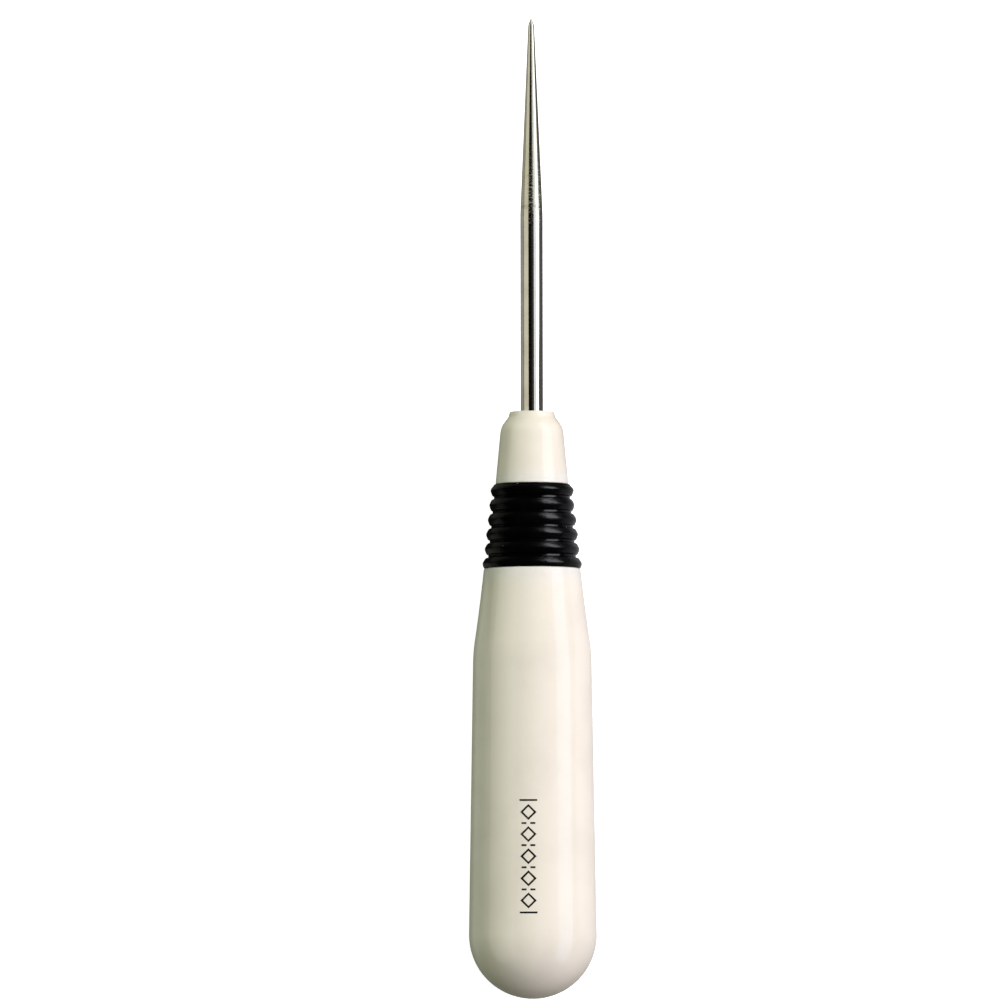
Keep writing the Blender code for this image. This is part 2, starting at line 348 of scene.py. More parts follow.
def uneven(piece):
    """Press the sleeve's crests in and out a little, each rib in its own way, as soft ribs are."""
    mesh = piece.data
    share = mesh.attributes["wear"].data
    for vert in mesh.vertices:
        if share[vert.index].value > 0.0:
            x, z = vert.co.x, vert.co.z - AXIS_Z
            angle = math.atan2(x, z)
            rib = round((SLEEVE_FRONT - FIRST_CREST_IN - (vert.co.y - REAR)) / RIB_PITCH)
            wave = sum(strength * math.sin(count * angle + turn * rib) for count, turn, strength in RIB_WAVES)
            growth = 1 + share[vert.index].value * RIB_WANDER * wave / (2 * math.hypot(x, z))
            vert.co.x = x * growth
            vert.co.z = AXIS_Z + z * growth


def body_radius(station):
    """Radius of the handle's straight, slightly drafted stretch."""
    share = (station - BUTT_RADIUS) / (SHOULDER_STATION - BUTT_RADIUS)
    return BUTT_RADIUS + (SHOULDER_RADIUS - BUTT_RADIUS) * share


def handle_outline():
    """The handle's outside from the pole of its domed end to its front face, and its blind bore."""
    draft = math.degrees(math.atan2(BUTT_RADIUS - SHOULDER_RADIUS, SHOULDER_STATION - BUTT_RADIUS))
    shoulder = (SHOULDER_STATION, SHOULDER_RADIUS)
    front = (HANDLE_FRONT, HANDLE_FRONT_RADIUS)
    points = arc((BUTT_RADIUS + DOME_SETBACK, 0.0), BUTT_RADIUS, 180.0, 90.0 - draft, steps=48)
    points[0] = (DOME_SETBACK, 0.0)
    round_off = rounded_corner(points[-1], shoulder, front, SHOULDER_ROUND, steps=16)
    points += straight(points[-1], round_off[0], steps=24)[:-1] + round_off
    flare_start = round_off[-1]
    rim = rounded_corner(flare_start, front, (HANDLE_FRONT, NECK_RADIUS), RIM_ROUND, steps=10)
    flare = straight(flare_start, rim[0], steps=24)[:-1]
    for index, (station, radius) in enumerate(flare):
        share = (index + 1) / (len(flare) + 1)
        flare[index] = (station, radius - 4 * FLARE_SAG * share * (1 - share))
    points += flare + rim
    bore = NECK_RADIUS + FIT_GAP
    points += [(HANDLE_FRONT, bore + BORE_CHAMFER), (HANDLE_FRONT - BORE_CHAMFER, bore)]
    points += [(PLUG_END, PLUG_END_RADIUS + FIT_GAP), (PLUG_END - BORE_REACH, BORE_END_RADIUS)]
    return points + [(PLUG_END - BORE_REACH, 0.0)]


# ---------------------------------------------------------------- the printed mark

MARK_REAR = 11.6 * MM
MARK_LENGTH = 15.4 * MM
MARK_WIDTH = 2.4 * MM
MARK_OFFSET = -0.62 * MM
MARK_STROKE = 0.25 * MM
MARK_COUNT = 5
INK_PROUD = 0.012 * MM
INK_SUNK = 0.01 * MM
PATCH_STRIPS = 8

# Parts of half the mark's width or, for the reach along the axis, of the pitch.
DIAMOND_REACH = 0.36
DIAMOND_WIDTH = 0.92
STITCH_PLACE = 0.5
STITCH_WIDTH = 0.28


def printed_point(across, station, height):
    """A point on the handle at a distance across from straight up, a little off its surface."""
    radius = body_radius(station)
    return on_surface(station, radius + height, across / radius)


def printed_loop(mesh, outer, inner):
    """A closed band of ink between two loops of (across, station) points."""
    count = len(outer)
    rows = []
    for loop, height in ((outer, -INK_SUNK), (outer, INK_PROUD), (inner, INK_PROUD), (inner, -INK_SUNK)):
        rows.append([mesh.verts.new(printed_point(across, station, height)) for across, station in loop])
    for first, second in zip(rows, rows[1:] + rows[:1]):
        for index in range(count):
            after = (index + 1) % count
            mesh.faces.new((first[index], first[after], second[after], second[index]))


def printed_patch(mesh, corners):
    """A filled four-sided patch of ink, cut into strips that follow the handle's curve."""
    grid = []
    for height in (-INK_SUNK, INK_PROUD):
        left = []
        right = []
        for step in range(PATCH_STRIPS + 1):
            share = step / PATCH_STRIPS
            for side, ends in ((left, (0, 3)), (right, (1, 2))):
                a, b = corners[ends[0]], corners[ends[1]]
                place = (a[0] + (b[0] - a[0]) * share, a[1] + (b[1] - a[1]) * share)
                side.append(mesh.verts.new(printed_point(place[0], place[1], height)))
        grid.append((left, right))
    (low_left, low_right), (high_left, high_right) = grid
    for step in range(PATCH_STRIPS):
        mesh.faces.new((high_left[step], high_right[step], high_right[step + 1], high_left[step + 1]))
        mesh.faces.new((low_left[step + 1], low_right[step + 1], low_right[step], low_left[step]))
        mesh.faces.new((low_left[step], high_left[step], high_left[step + 1], low_left[step + 1]))
        mesh.faces.new((high_right[step], low_right[step], low_right[step + 1], high_right[step + 1]))
    mesh.faces.new((low_left[0], low_right[0], high_right[0], high_left[0]))
    mesh.faces.new((high_left[-1], high_right[-1], low_right[-1], low_left[-1]))


def diamond(centre, half_across, half_along, steps=6):
    """A closed loop of points round a diamond."""
    corners = [
        (centre[0] + half_across, centre[1]),
        (centre[0], centre[1] + half_along),
        (centre[0] - half_across, centre[1]),
        (centre[0], centre[1] - half_along),
    ]
    points = []
    for index, corner in enumerate(corners):
        points += [corner] + straight(corner, corners[(index + 1) % 4], steps)[:-1]
    return points


def bar(mesh, across, station, half_across, half_along):
    """A straight bar of ink round its middle."""
    printed_patch(
        mesh,
        [
            (across - half_across, station - half_along),
            (across - half_across, station + half_along),
            (across + half_across, station + half_along),
            (across + half_across, station - half_along),
        ],
    )


def printed_mark():
    """A plain decorative band: open diamonds with short stitches between them and a bar at each end."""
    mesh = bmesh.new()
    half = MARK_WIDTH / 2
    stroke = MARK_STROKE / 2
    pitch = (MARK_LENGTH - MARK_STROKE * 2) / MARK_COUNT
    width = half * DIAMOND_WIDTH
    reach = pitch * DIAMOND_REACH
    inset = MARK_STROKE * (math.hypot(half, reach) / reach)
    for end in (MARK_REAR + stroke, MARK_REAR + MARK_LENGTH - stroke):
        bar(mesh, MARK_OFFSET, end, half, stroke)
    for index in range(MARK_COUNT):
        middle = MARK_REAR + MARK_STROKE + pitch * (index + 0.5)
        outer = diamond((MARK_OFFSET, middle), width, reach)
        inner = diamond((MARK_OFFSET, middle), width - inset, reach - inset * reach / half)
        printed_loop(mesh, outer, inner)
        if index:
            gap = middle - pitch / 2
            for side in (-1, 1):
                bar(mesh, MARK_OFFSET + side * half * STITCH_PLACE, gap, half * STITCH_WIDTH, stroke)
    return finished("printed_mark", mesh)


# ---------------------------------------------------------------- materials


# The part of a speck's radius that is fully its own colour.
SPECK_CORE = 0.6


class Nodes:
    """Short calls for building one material's node tree. Most give back a socket to link onwards.

    Scales of noise and cells are per metre, so that 1000 gives features of about a millimetre.
    """

    def __init__(self, name):
        self.material = bpy.data.materials.new(name)
        self.material.use_nodes = True
        self.tree = self.material.node_tree
        self.shader = self.tree.nodes["Principled BSDF"]

    def link(self, value, socket):
        """Join a socket to another, or set a plain value on it. None leaves it as it is."""
        if isinstance(value, bpy.types.NodeSocket):
            self.tree.links.new(value, socket)
        elif value is not None:
            socket.default_value = value

    def place(self):
        """The place on the object, in metres."""
        return self.tree.nodes.new("ShaderNodeTexCoord").outputs["Object"]

    def attribute(self, name):
        node = self.tree.nodes.new("ShaderNodeAttribute")
        node.attribute_name = name
        return node.outputs["Fac"]

    def stretch(self, vector, scale):
        """A vector multiplied by a scale for each axis."""
        node = self.tree.nodes.new("ShaderNodeVectorMath")
        node.operation = "MULTIPLY"
        self.link(vector, node.inputs[0])
        node.inputs[1].default_value = scale
        return node.outputs[0]

    def axes(self, vector):
        node = self.tree.nodes.new("ShaderNodeSeparateXYZ")
        self.link(vector, node.inputs[0])
        return node.outputs

    def noise(self, vector, scale, detail=2.0, roughness=0.5, distortion=0.0):
        node = self.tree.nodes.new("ShaderNodeTexNoise")
        self.link(vector, node.inputs["Vector"])
        node.inputs["Scale"].default_value = scale
        node.inputs["Detail"].default_value = detail
        node.inputs["Roughness"].default_value = roughness
        node.inputs["Distortion"].default_value = distortion
        return node.outputs["Fac"]

    def cells(self, vector, scale):
        """Distance to the nearest cell's centre, and that cell's random colour."""
        node = self.tree.nodes.new("ShaderNodeTexVoronoi")
        self.link(vector, node.inputs["Vector"])
        node.inputs["Scale"].default_value = scale
        return node.outputs["Distance"], node.outputs["Color"]

    def maths(self, operation, first, second=None, third=None):
        node = self.tree.nodes.new("ShaderNodeMath")
        node.operation = operation
        self.link(first, node.inputs[0])
        self.link(second, node.inputs[1])
        self.link(third, node.inputs[2])
        return node.outputs[0]

    def between(self, value, low, high, out_low=0.0, out_high=1.0):
        """Map a value from one range to another, smoothly and without going past the ends."""
        node = self.tree.nodes.new("ShaderNodeMapRange")
        node.interpolation_type = "SMOOTHSTEP"
        self.link(value, node.inputs["Value"])
        node.inputs["From Min"].default_value = low
        node.inputs["From Max"].default_value = high
        node.inputs["To Min"].default_value = out_low
        node.inputs["To Max"].default_value = out_high
        return node.outputs["Result"]

    def mix(self, factor, first, second):
        node = self.tree.nodes.new("ShaderNodeMix")
        node.data_type = "RGBA"
        self.link(factor, node.inputs["Factor"])
        self.link(first, node.inputs[6])
        self.link(second, node.inputs[7])
        return node.outputs[2]

    def bump(self, height, strength, distance, normal=None):
        node = self.tree.nodes.new("ShaderNodeBump")
        node.inputs["Strength"].default_value = strength
        node.inputs["Distance"].default_value = distance
        self.link(height, node.inputs["Height"])
        self.link(normal, node.inputs["Normal"])
        return node.outputs[0]

    def specks(self, vector, scale, size, share):
        """Sparse round specks: 1 inside, 0 outside.

        size is a speck's radius in cells, share how many of the cells have one.
        """
        distance, colour = self.cells(vector, scale)
        chosen = self.maths("LESS_THAN", self.axes(colour)[0], share)
        return self.maths("MULTIPLY", chosen, self.between(distance, size * SPECK_CORE, size, 1.0, 0.0))

    def near(self, along, station, reach):
        """1 at a station, falling to 0 at a distance of reach on both sides."""
        away = self.maths("ABSOLUTE", self.maths("SUBTRACT", along, REAR + station))
        return self.between(away, 0.0, reach, 1.0, 0.0)

    def set(self, **values):
        """Set or link the shader's inputs, named with _ for a space, and give the finished material."""
        for name, value in values.items():
            self.link(value, self.shader.inputs[name.replace("_", " ")])
        return self.material


IVORY = (0.84, 0.785, 0.655, 1)
IVORY_DEEPER = (0.8, 0.745, 0.62, 1)
IVORY_FLECK = (0.86, 0.81, 0.7, 1)
IVORY_SPECK = (0.16, 0.12, 0.08, 1)
# Painted reflection by the seam: a greyer, less yellow tint, and darker patches within it.
IVORY_PAINTED_SEAM_REFLECTION = (0.8, 0.8, 0.74, 1)
IVORY_PAINTED_SEAM_PATCH = (0.45, 0.43, 0.38, 1)
IVORY_IOR = 1.5
IVORY_ROUGHNESS = 0.045
MOTTLE_SCALE = 160.0
MOTTLE_ROUGHNESS = 0.05
FLECK_SCALE = 1400.0
FLECK_ROUGHNESS = 0.03
SPECK_SCALE = 420.0
SEAM_PATCH_SCALE = 900.0
WEAR_ROUGHNESS = 0.15
SCRATCH_STRETCH = (900.0, 60.0, 900.0)
SCRATCH_SCALE = 6.0
SCRATCH_ROUGHNESS = 0.12
PEEL_SCALE = 750.0
SEAM_REACH = 3.0 * MM
EDGE_REACH = 0.5 * MM
PEEL_DEPTH = 0.004 * MM
SCRATCH_DEPTH = 0.004 * MM


def ivory(name, seam_station, edge_station):
    """Glossy ivory plastic: faint mottling, orange peel, fine scratches, a few specks, a dulled seam, and by
    the seam a painted reflection: a greyer, less yellow band, darker in patches.
    """
    n = Nodes(name)
    place = n.place()
    along = n.axes(place)[1]
    mottle = n.noise(place, MOTTLE_SCALE, detail=4.0)
    fleck = n.noise(place, FLECK_SCALE, detail=3.0)
    colour = n.mix(n.between(mottle, 0.35, 0.68), IVORY, IVORY_DEEPER)
    colour = n.mix(n.between(fleck, 0.5, 0.8, 0.0, 0.25), colour, IVORY_FLECK)
    specks = n.specks(place, SPECK_SCALE, size=0.055, share=0.02)
    colour = n.mix(n.maths("MULTIPLY", specks, 0.6), colour, IVORY_SPECK)
    # By the seam, a greyer, less yellow band that is darker in patches is a painted reflection; the patches
    # also make the surface rougher.
    by_seam = n.near(along, seam_station, SEAM_REACH)
    patchy = n.between(n.noise(place, SEAM_PATCH_SCALE, detail=5.0, roughness=0.65), 0.35, 0.75)
    colour = n.mix(n.maths("MULTIPLY", by_seam, 0.6), colour, IVORY_PAINTED_SEAM_REFLECTION)
    seam_patches = n.maths("MULTIPLY", by_seam, patchy)
    colour = n.mix(n.maths("MULTIPLY", seam_patches, 0.12), colour, IVORY_PAINTED_SEAM_PATCH)
    worn = n.near(along, edge_station, EDGE_REACH)
    drawn_out = n.stretch(place, SCRATCH_STRETCH)
    scratches = n.between(n.noise(drawn_out, SCRATCH_SCALE, detail=1.0, distortion=1.2), 0.66, 0.74)
    rough = n.maths("MULTIPLY_ADD", mottle, MOTTLE_ROUGHNESS, IVORY_ROUGHNESS)
    rough = n.maths("MULTIPLY_ADD", fleck, FLECK_ROUGHNESS, rough)
    rough = n.maths("MULTIPLY_ADD", scratches, SCRATCH_ROUGHNESS, rough)
    rough = n.maths("MULTIPLY_ADD", n.maths("MAXIMUM", seam_patches, worn), WEAR_ROUGHNESS, rough)
    peel = n.noise(place, PEEL_SCALE, detail=2.0)
    normal = n.bump(peel, 0.35, PEEL_DEPTH)
    normal = n.bump(scratches, 0.12, -SCRATCH_DEPTH, normal)
    return n.set(Base_Color=colour, Roughness=rough, Normal=normal, IOR=IVORY_IOR)


STEEL = (0.71, 0.69, 0.65, 1)
STEEL_TARNISHED = (0.62, 0.59, 0.54, 1)
STEEL_ON_TAPER = (0.62, 0.6, 0.46, 1)
STEEL_JOINT = (0.25, 0.23, 0.2, 1)
STEEL_PIT = (0.3, 0.28, 0.25, 1)
STEEL_ROUGHNESS = 0.04
RING_STRETCH = (260.0, 9000.0, 260.0)
GRIT_STRETCH = (2200.0, 9000.0, 2200.0)
GRINDING_ROUGHNESS = 0.07
GRINDING_DEPTH = 0.008 * MM
TARNISH_SCALE = 300.0
PIT_SCALE = 2600.0
TAPER_ROUGHNESS = 0.12
TAPER_START = TIP - TAPER_LENGTH
TAPER_BLEND = 0.6 * MM
JOINT_AHEAD = 1.0 * MM
JOINT_REACH = 0.45 * MM
SCUFF_AHEAD = 2.5 * MM
SCUFF_REACH = 9.0 * MM
SCUFF_STRETCH = (1500.0, 4200.0, 1500.0)
SCUFF_ROUGHNESS = 0.28


def steel():
    """Ground and polished steel: rings of grinding and scuffs on the taper, a finer polish on the shank."""
    n = Nodes("steel_ground")
    place = n.place()
    along = n.axes(place)[1]
    taper = n.between(along, REAR + TAPER_START - TAPER_BLEND, REAR + TAPER_START + TAPER_BLEND)
    rings = n.noise(n.stretch(place, RING_STRETCH), 1.0, detail=3.0, roughness=0.65)
    grit = n.noise(n.stretch(place, GRIT_STRETCH), 1.0, detail=2.0, roughness=0.6)
    grain = n.maths("MULTIPLY_ADD", grit, 0.6, n.maths("MULTIPLY", rings, 0.5))
    tarnish = n.noise(place, TARNISH_SCALE, detail=4.0, roughness=0.6)
    colour = n.mix(n.between(tarnish, 0.4, 0.7), STEEL, STEEL_TARNISHED)
    colour = n.mix(n.maths("MULTIPLY", taper, 0.35), colour, STEEL_ON_TAPER)
    joint = n.near(along, TAPER_START + JOINT_AHEAD, JOINT_REACH)
    joint = n.maths("MULTIPLY", joint, n.between(grit, 0.35, 0.6))
    colour = n.mix(n.maths("MULTIPLY", joint, 0.5), colour, STEEL_JOINT)
    pits = n.specks(place, PIT_SCALE, size=0.16, share=0.05)
    colour = n.mix(n.maths("MULTIPLY", pits, 0.5), colour, STEEL_PIT)
    rough = n.maths("MULTIPLY_ADD", n.between(grain, 0.35, 0.75), GRINDING_ROUGHNESS, STEEL_ROUGHNESS)
    rough = n.maths("MULTIPLY_ADD", n.maths("MULTIPLY", taper, grain), TAPER_ROUGHNESS, rough)
    used = n.near(along, TAPER_START + SCUFF_AHEAD, SCUFF_REACH)
    scuff = n.noise(n.stretch(place, SCUFF_STRETCH), 1.0, detail=3.0, roughness=0.7)
    scuff = n.between(scuff, 0.5, 0.62)
    rough = n.maths("MULTIPLY_ADD", n.maths("MULTIPLY", scuff, used), SCUFF_ROUGHNESS, rough)
    deep = n.maths("MULTIPLY_ADD", taper, 0.75, 0.25)
    height = n.maths("MULTIPLY", grain, deep)
    normal = n.bump(height, 0.6, GRINDING_DEPTH)
    return n.set(Base_Color=colour, Roughness=rough, Normal=normal, Metallic=1.0)


RUBBER = (0.0004, 0.0004, 0.0005, 1)
RUBBER_CLOUDED = (0.0014, 0.0014, 0.0016, 1)
RUBBER_DUST = (0.6, 0.6, 0.62, 1)
RUBBER_IOR = 1.5
RUBBER_SPECULAR = 0.09
VALLEY_ROUGHNESS = 0.1
CREST_ROUGHNESS = 0.21
POLISH_ROUGHNESS = -0.06
LINT_ROUGHNESS = 0.3
CLOUD_SCALE = 350.0
DUST_SCALE = 1500.0
DENT_SCALE = 800.0
DENT_DEPTH = 0.08 * MM
CREASE_STRETCH = (700.0, 2800.0, 700.0)
CREASE_DEPTH = 0.07 * MM
GRAIN_SCALE = 6500.0
GRAIN_ROUGHNESS = 0.12
GRAIN_DEPTH = 0.012 * MM


def rubber():
    """Satin black elastomer: soft dents and creases, fine grain, dust in the valleys, crests a little
    polished by the hand."""
    n = Nodes("rubber_satin")
    place = n.place()
    crest = n.attribute("wear")
    cloud = n.noise(place, CLOUD_SCALE, detail=4.0, roughness=0.6)
    grain = n.noise(place, GRAIN_SCALE, detail=3.0, roughness=0.6)
    colour = n.mix(n.between(cloud, 0.3, 0.7), RUBBER, RUBBER_CLOUDED)
    dust = n.specks(place, DUST_SCALE, size=0.13, share=0.02)
    lint = n.maths("MULTIPLY", n.between(crest, 0.2, 0.5, 1.0, 0.15), dust)
    colour = n.mix(n.maths("MULTIPLY", lint, 0.9), colour, RUBBER_DUST)
    polish = n.maths("MULTIPLY", n.between(crest, 0.7, 1.0), n.between(cloud, 0.35, 0.65))
    rough = n.between(crest, 0.05, 0.5, VALLEY_ROUGHNESS, CREST_ROUGHNESS)
    rough = n.maths("MULTIPLY_ADD", grain, GRAIN_ROUGHNESS, rough)
    rough = n.maths("MULTIPLY_ADD", polish, POLISH_ROUGHNESS, rough)
    rough = n.maths("MULTIPLY_ADD", lint, LINT_ROUGHNESS, rough)
    dents = n.noise(place, DENT_SCALE, detail=2.0)
    normal = n.bump(dents, 0.5, DENT_DEPTH)
    creases = n.noise(n.stretch(place, CREASE_STRETCH), 1.0, detail=3.0, roughness=0.55)
    normal = n.bump(creases, 0.7, CREASE_DEPTH, normal)
    normal = n.bump(grain, 0.3, GRAIN_DEPTH, normal)
    n.set(Base_Color=colour, Roughness=rough, Normal=normal)
    return n.set(IOR=RUBBER_IOR, Specular_IOR_Level=RUBBER_SPECULAR)


INK = (0.012, 0.012, 0.012, 1)
INK_THIN = (0.1, 0.097, 0.09, 1)
INK_IOR = 1.5
INK_ROUGHNESS = 0.25
INK_GRAIN_SCALE = 2500.0
INK_GRAIN_ROUGHNESS = 0.25
INK_GRAIN_DEPTH = 0.003 * MM


def ink():
    """Printed black ink, a little thin in places."""
    n = Nodes("ink_black")
    place = n.place()
    thin = n.noise(place, INK_GRAIN_SCALE, detail=4.0, roughness=0.7)
    colour = n.mix(n.between(thin, 0.55, 0.8, 0.0, 0.35), INK, INK_THIN)
    rough = n.maths("MULTIPLY_ADD", thin, INK_GRAIN_ROUGHNESS, INK_ROUGHNESS)
    normal = n.bump(thin, 0.2, INK_GRAIN_DEPTH)
    return n.set(Base_Color=colour, Roughness=rough, Normal=normal, IOR=INK_IOR)


# ---------------------------------------------------------------- the awl

NEEDLE_SIDES = 128
CORE_SIDES = 192
SLEEVE_SIDES = 192
HANDLE_SIDES = 256


def dressed(piece, finish, node=None):
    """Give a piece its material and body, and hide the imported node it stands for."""
    piece.data.materials.append(finish)
    if node:
        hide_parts(node)
    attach(piece, "root")


needle = turned("fine_needle", needle_outline(), NEEDLE_SIDES)
dressed(needle, steel(), "needle")

nose_finish = ivory("ivory_nose", SLEEVE_FRONT, NOSE_FRONT)
nose = turned("fine_nose_core", core_outline(), CORE_SIDES)
dressed(nose, nose_finish, "nose_core")

sleeve_points, sleeve_marks = sleeve_outline()
sleeve = turned("fine_grip_sleeve", sleeve_points, SLEEVE_SIDES, closed=True, marks=sleeve_marks)
uneven(sleeve)
dressed(sleeve, rubber(), "grip_sleeve")

handle_finish = ivory("ivory_handle", HANDLE_FRONT, HANDLE_FRONT)
handle = turned("fine_handle_shell", handle_outline(), HANDLE_SIDES)
dressed(handle, handle_finish, "handle_shell")

dressed(printed_mark(), ink())


# ---------------------------------------------------------------- floor, light and camera

FLOOR_HALF = 3.0
FLOOR_BELOW = 0.01 * MM
FLOOR_GLOW = 0.8
FLOOR_SEEN = (0.9, 0.9, 0.9, 1)
FLOOR_BOUNCE = (0.36, 0.35, 0.315, 1)
FLOOR_BOUNCE_BEHIND = (0.03, 0.03, 0.03, 1)
FLOOR_MIRRORED_BEHIND = (0.4, 0.38, 0.26, 1)
FLOOR_LEFT_NEEDLE = (0.38, 0.37, 0.31, 1)
FLOOR_LEFT_HANDLE = (0.6, 0.62, 0.58, 1)
FLOOR_LEFT_SLEEVE = (0.05, 0.05, 0.05, 1)
FLOOR_RIGHT_NEEDLE = (0.1, 0.1, 0.095, 1)
FLOOR_RIGHT_HANDLE = (0.65, 0.66, 0.66, 1)

# Where one tone of the floor passes into the next, across in X and the rest in Y.
ACROSS_BLEND = (-10.0 * MM, 10.0 * MM)
LEFT_BLEND = (SLEEVE_LOW.y - 6.0 * MM, SLEEVE_LOW.y + 2.0 * MM)
RIGHT_BLEND = (CORE_HIGH.y - 12.0 * MM, CORE_HIGH.y + 2.0 * MM)
BEHIND_BLEND = (REAR - 6.0 * MM, REAR + 8.0 * MM)
RIBS_START = (SLEEVE_LOW.y, SLEEVE_LOW.y + 2.0 * MM)
RIBS_END = (SLEEVE_HIGH.y - 0.5 * MM, SLEEVE_HIGH.y + 0.5 * MM)


def make_floor():
    """A plain pale floor that lies just under the awl.

    The camera sees it as plain and bright. What it gives back to the awl is set apart from that: a bounce
    that fades out behind the domed end, and a mirrored tone for each side and stretch of the awl.
    """
    mesh = bmesh.new()
    corners = []
    for x, y in ((-1, -1), (1, -1), (1, 1), (-1, 1)):
        corners.append(mesh.verts.new((x * FLOOR_HALF, y * FLOOR_HALF, 0.0)))
    mesh.faces.new(corners)
    floor = finished("floor", mesh)
    floor.location.z = -FLOOR_BELOW
    n = Nodes("pale_floor")
    across, along, _ = n.axes(n.place())
    left = n.mix(n.between(along, *LEFT_BLEND), FLOOR_LEFT_HANDLE, FLOOR_LEFT_NEEDLE)
    by_ribs = n.maths("MULTIPLY", n.between(along, *RIBS_START), n.between(along, *RIBS_END, 1.0, 0.0))
    left = n.mix(by_ribs, left, FLOOR_LEFT_SLEEVE)
    right = n.mix(n.between(along, *RIGHT_BLEND), FLOOR_RIGHT_HANDLE, FLOOR_RIGHT_NEEDLE)
    beside = n.mix(n.between(across, *ACROSS_BLEND), left, right)
    ahead = n.between(along, *BEHIND_BLEND)
    mirrored = n.mix(ahead, FLOOR_MIRRORED_BEHIND, beside)
    bounce = n.mix(ahead, FLOOR_BOUNCE_BEHIND, FLOOR_BOUNCE)
    ray = n.tree.nodes.new("ShaderNodeLightPath")
    unseen = n.tree.nodes.new("ShaderNodeBsdfDiffuse")
    n.link(n.mix(ray.outputs["Is Glossy Ray"], bounce, mirrored), unseen.inputs["Color"])
    glow = n.tree.nodes.new("ShaderNodeEmission")
    glow.inputs["Strength"].default_value = FLOOR_GLOW
    pale = n.tree.nodes.new("ShaderNodeBsdfDiffuse")
    pale.inputs["Color"].default_value = FLOOR_SEEN
    seen = n.tree.nodes.new("ShaderNodeAddShader")
    n.link(glow.outputs[0], seen.inputs[0])
    n.link(pale.outputs[0], seen.inputs[1])
    choose = n.tree.nodes.new("ShaderNodeMixShader")
    n.link(ray.outputs["Is Camera Ray"], choose.inputs[0])
    n.link(unseen.outputs[0], choose.inputs[1])
    n.link(seen.outputs[0], choose.inputs[2])
    n.tree.nodes.remove(n.shader)
    n.link(choose.outputs[0], n.tree.nodes["Material Output"].inputs["Surface"])
    floor.data.materials.append(n.material)


def panel(name, lean_deg, half_deg, distance, along, radiance, tint, glossy=True, diffuse=True, only=None):
    """A soft box that faces the awl's axis.

    lean_deg is its angle from straight up towards +X, half_deg half its width as seen from the axis, along
    its two ends in Y, and radiance its brightness. only names the pieces it lights, if not all of them.
    """
    width = 2 * distance * math.tan(math.radians(half_deg))
    length = along[1] - along[0]
    light = bpy.data.lights.new(name, "AREA")
    light.shape = "RECTANGLE"
    light.size = width
    light.size_y = length
    light.color = tint
    light.energy = radiance * math.pi * width * length
    lamp = bpy.data.objects.new(name, light)
    bpy.context.scene.collection.objects.link(lamp)
    lean = math.radians(lean_deg)
    spot = Vector((distance * math.sin(lean), (along[0] + along[1]) / 2, AXIS_Z + distance * math.cos(lean)))
    lamp.matrix_world = Matrix.Translation(spot) @ Matrix.Rotation(lean, 4, "Y")
    lamp.visible_camera = False
    lamp.visible_glossy = glossy
    lamp.visible_diffuse = diffuse
    if only:
        lit = bpy.data.collections.new(name + "_lights")
        for piece in only:
            lit.objects.link(piece)
        lamp.light_linking.receiver_collection = lit


# Tints of the soft boxes.
NEUTRAL = (1.0, 0.985, 0.96)
COOL = (0.95, 0.98, 1.0)
BLUE = (0.48, 0.7, 1.0)
PALE_BLUE = (0.5, 0.73, 0.88)
CREAM = (1.0, 0.975, 0.78)
CREAM_NOSE = (1.0, 0.98, 0.76)
LILAC = (0.88, 0.81, 0.96)
LILAC_SIDE = (0.85, 0.74, 1.0)

# Distances of the soft boxes from the axis, and the two ends in Y that several of them share.
KEY_DISTANCE = 0.45
FILL_DISTANCE = 0.5
HIGH_DISTANCE = 0.6
SUN_DISTANCE = 0.8
KEY_ENDS = (-0.4, 0.8)
MIDDLE_ENDS = (-0.5, 0.5)


def make_lights():
    """Nine soft boxes that only show as reflections, each on some of the pieces, then three that only
    light surfaces."""
    hard = [needle, nose, handle]
    mirror = {"diffuse": False, "only": [needle]}
    panel("key", 62.5, 14.5, KEY_DISTANCE, KEY_ENDS, 2.6, COOL, **mirror)
    panel("key_inner", 35.5, 12.5, KEY_DISTANCE, KEY_ENDS, 1.1, COOL, **mirror)
    panel("key_front", 16.5, 6.5, KEY_DISTANCE, (0.142, 0.8), 1.0, COOL, **mirror)
    panel("key_outer", 83.0, 6.0, KEY_DISTANCE, (0.06, 0.8), 0.8, NEUTRAL, **mirror)
    panel("key_handle", 62.0, 15.0, KEY_DISTANCE, (-0.46, 0.8), 2.2, BLUE, diffuse=False, only=[handle])
    panel("key_nose", 56.5, 19.0, KEY_DISTANCE, KEY_ENDS, 2.45, PALE_BLUE, diffuse=False, only=[nose])
    panel("key_sleeve", 56.5, 17.5, KEY_DISTANCE, (-0.04, 0.75), 15.8, COOL, diffuse=False, only=[sleeve])
    panel("ceiling", 14.0, 13.0, HIGH_DISTANCE, MIDDLE_ENDS, 0.04, NEUTRAL, diffuse=False, only=hard)
    panel("fill", -60.0, 26.5, FILL_DISTANCE, (-0.5, 0.9), 0.76, CREAM, diffuse=False, only=hard)
    panel("fill_nose", -15.0, 6.0, SUN_DISTANCE, (-0.1, 0.7), 0.7, CREAM_NOSE, glossy=False, only=[nose])
    panel("sun", 38.5, 6.0, SUN_DISTANCE, (-0.29, 0.63), 13.9, LILAC, glossy=False)
    panel("side", 79.0, 12.0, HIGH_DISTANCE, MIDDLE_ENDS, 0.85, LILAC_SIDE, glossy=False)


WORLD_SEEN = 1.1
WORLD_TINT = (0.906, 1.0, 0.83, 1)
WORLD_MIRRORED_TINT = (1.0, 0.985, 0.96, 1)
WORLD_DIFFUSE = 0.67
WORLD_REAR = 0.005
WORLD_GLOSS = 0.004
WORLD_FADE = (-0.6, 0.05)


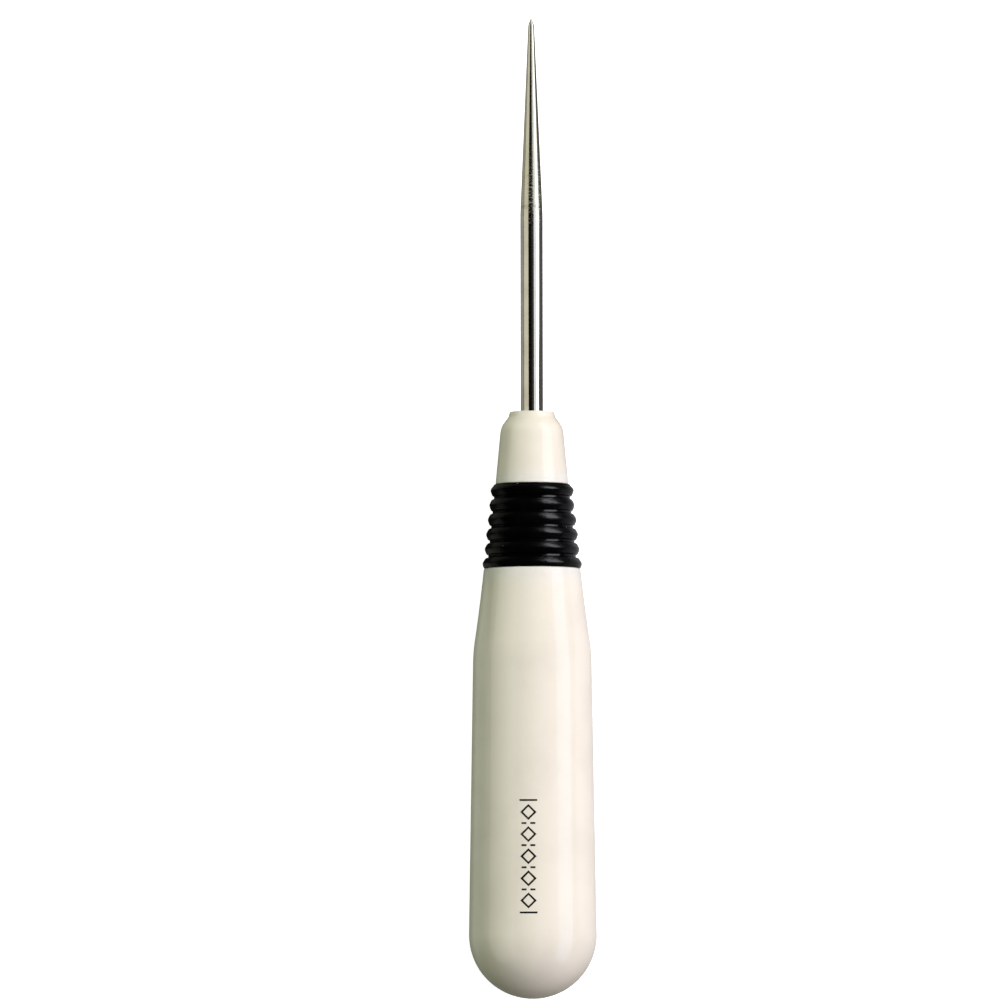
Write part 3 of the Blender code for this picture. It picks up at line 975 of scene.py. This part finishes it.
def make_world():
    """Plain light from all round, faded out behind the awl, with a bright backdrop for the camera only."""
    world = bpy.data.worlds.new("studio")
    world.use_nodes = True
    tree = world.node_tree
    tree.nodes.clear()
    out = tree.nodes.new("ShaderNodeOutputWorld")
    ray = tree.nodes.new("ShaderNodeLightPath")
    backdrop = tree.nodes.new("ShaderNodeBackground")
    backdrop.inputs["Strength"].default_value = WORLD_SEEN
    diffuse = tree.nodes.new("ShaderNodeBackground")
    diffuse.inputs["Color"].default_value = WORLD_TINT
    direction = tree.nodes.new("ShaderNodeTexCoord").outputs["Generated"]
    split = tree.nodes.new("ShaderNodeSeparateXYZ")
    fade = tree.nodes.new("ShaderNodeMapRange")
    fade.interpolation_type = "SMOOTHSTEP"
    fade.inputs["From Min"].default_value = WORLD_FADE[0]
    fade.inputs["From Max"].default_value = WORLD_FADE[1]
    fade.inputs["To Min"].default_value = WORLD_REAR
    fade.inputs["To Max"].default_value = WORLD_DIFFUSE
    tree.links.new(direction, split.inputs[0])
    tree.links.new(split.outputs["Y"], fade.inputs["Value"])
    tree.links.new(fade.outputs["Result"], diffuse.inputs["Strength"])
    gloss = tree.nodes.new("ShaderNodeBackground")
    gloss.inputs["Color"].default_value = WORLD_MIRRORED_TINT
    gloss.inputs["Strength"].default_value = WORLD_GLOSS
    first = tree.nodes.new("ShaderNodeMixShader")
    second = tree.nodes.new("ShaderNodeMixShader")
    tree.links.new(ray.outputs["Is Glossy Ray"], first.inputs[0])
    tree.links.new(diffuse.outputs[0], first.inputs[1])
    tree.links.new(gloss.outputs[0], first.inputs[2])
    tree.links.new(ray.outputs["Is Camera Ray"], second.inputs[0])
    tree.links.new(first.outputs[0], second.inputs[1])
    tree.links.new(backdrop.outputs[0], second.inputs[2])
    tree.links.new(second.outputs[0], out.inputs["Surface"])
    bpy.context.scene.world = world


CAMERA_DISTANCE = 1.0
CAMERA_SPAN = 136.4 * MM
CAMERA_ELEVATION_DEG = 86.5
CAMERA_ROLL_DEG = -0.1
CAMERA_X = -4.37 * MM
CAMERA_Y = 0.945 * MM
SENSOR_WIDTH = 36.0
CLIP_START = 0.01
CLIP_END = 100.0


def make_camera():
    """A long lens far above the awl, tilted a little towards the domed end."""
    data = bpy.data.cameras.new("camera")
    data.sensor_width = SENSOR_WIDTH
    data.lens = data.sensor_width * CAMERA_DISTANCE / CAMERA_SPAN
    data.clip_start = CLIP_START
    data.clip_end = CLIP_END
    camera = bpy.data.objects.new("camera", data)
    bpy.context.scene.collection.objects.link(camera)
    elevation = math.radians(CAMERA_ELEVATION_DEG)
    backward = Vector((0.0, -math.cos(elevation), math.sin(elevation)))
    target = Vector((CAMERA_X, CAMERA_Y, AXIS_Z))
    look = (-backward).to_track_quat("-Z", "Y").to_matrix().to_4x4()
    roll = Matrix.Rotation(math.radians(CAMERA_ROLL_DEG), 4, "Z")
    camera.matrix_world = Matrix.Translation(target + backward * CAMERA_DISTANCE) @ look @ roll
    bpy.context.scene.camera = camera


make_floor()
make_world()
make_lights()
make_camera()

scene = bpy.context.scene
scene.view_settings.view_transform = "Standard"
scene.view_settings.look = "None"
scene.view_settings.exposure = 0.0
scene.view_settings.gamma = 1.0

bpy.context.view_layer.update()
